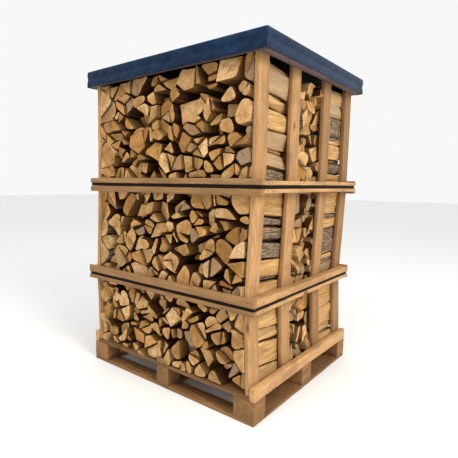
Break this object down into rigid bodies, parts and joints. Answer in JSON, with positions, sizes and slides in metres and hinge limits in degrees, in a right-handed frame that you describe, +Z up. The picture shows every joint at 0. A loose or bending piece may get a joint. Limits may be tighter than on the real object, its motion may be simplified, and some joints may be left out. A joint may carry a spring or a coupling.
{
  "type": "crate of split firewood",
  "caption": "Open timber crate in stacked tiers on a pallet base, packed with rows of split firewood logs under a flat film-wrapped lid.",
  "frame": {"origin": "on the floor, under the middle of the crate", "axes": "+Z up; X along the front, which is the side where the front row of logs shows its ends; the front looks towards -Y"},
  "size_m": [1.232, 1.172, 1.767],
  "materials": {
    "pine": "sawn pine, golden, matt",
    "pallet_wood": "weathered sawn pine, grey brown",
    "firewood": "split hardwood, raw end grain and rough bark",
    "nail_steel": "dull wire nail heads, shown in the Blender scene only",
    "dark_film": "dark blue-black plastic film with soft wrinkles"
  },
  "bodies": {
    "root": {"block_back_centre": "pallet_wood", "block_back_left": "pallet_wood", "block_back_right": "pallet_wood", "block_front_centre": "pallet_wood", "block_front_left": "pallet_wood", "block_front_right": "pallet_wood", "block_middle_centre": "pallet_wood", "block_middle_left": "pallet_wood", "block_middle_right": "pallet_wood", "bottom_board_back": "pallet_wood", "bottom_board_centre": "pallet_wood", "bottom_board_front": "pallet_wood", "bottom_board_left": "pallet_wood", "bottom_board_right": "pallet_wood", "deck_board_1": "pallet_wood", "deck_board_2": "pallet_wood", "deck_board_3": "pallet_wood", "deck_board_4": "pallet_wood", "lid_film": "dark_film", "lid_panel": "dark_film", "side_beam_left": "pine", "side_beam_right": "pine", "tier_1_firewood_back": "firewood", "tier_1_firewood_front": "firewood", "tier_1_firewood_middle": "firewood", "tier_1_post_left_1": "pine", "tier_1_post_left_2": "pine", "tier_1_post_left_3": "pine", "tier_1_post_left_4": "pine", "tier_1_post_right_1": "pine", "tier_1_post_right_2": "pine", "tier_1_post_right_3": "pine", "tier_1_post_right_4": "pine", "tier_1_top_rails": "pine", "tier_2_bottom_rails": "pine", "tier_2_firewood_back": "firewood", "tier_2_firewood_front": "firewood", "tier_2_firewood_middle": "firewood", "tier_2_post_left_1": "pine", "tier_2_post_left_2": "pine", "tier_2_post_left_3": "pine", "tier_2_post_left_4": "pine", "tier_2_post_right_1": "pine", "tier_2_post_right_2": "pine", "tier_2_post_right_3": "pine", "tier_2_post_right_4": "pine", "tier_2_top_rails": "pine", "tier_3_bottom_rails": "pine", "tier_3_firewood_back": "firewood", "tier_3_firewood_front": "firewood", "tier_3_firewood_middle": "firewood", "tier_3_post_left_1": "pine", "tier_3_post_left_2": "pine", "tier_3_post_left_3": "pine", "tier_3_post_left_4": "pine", "tier_3_post_right_1": "pine", "tier_3_post_right_2": "pine", "tier_3_post_right_3": "pine", "tier_3_post_right_4": "pine", "tier_3_top_rails": "pine"}
  },
  "joints": []
}
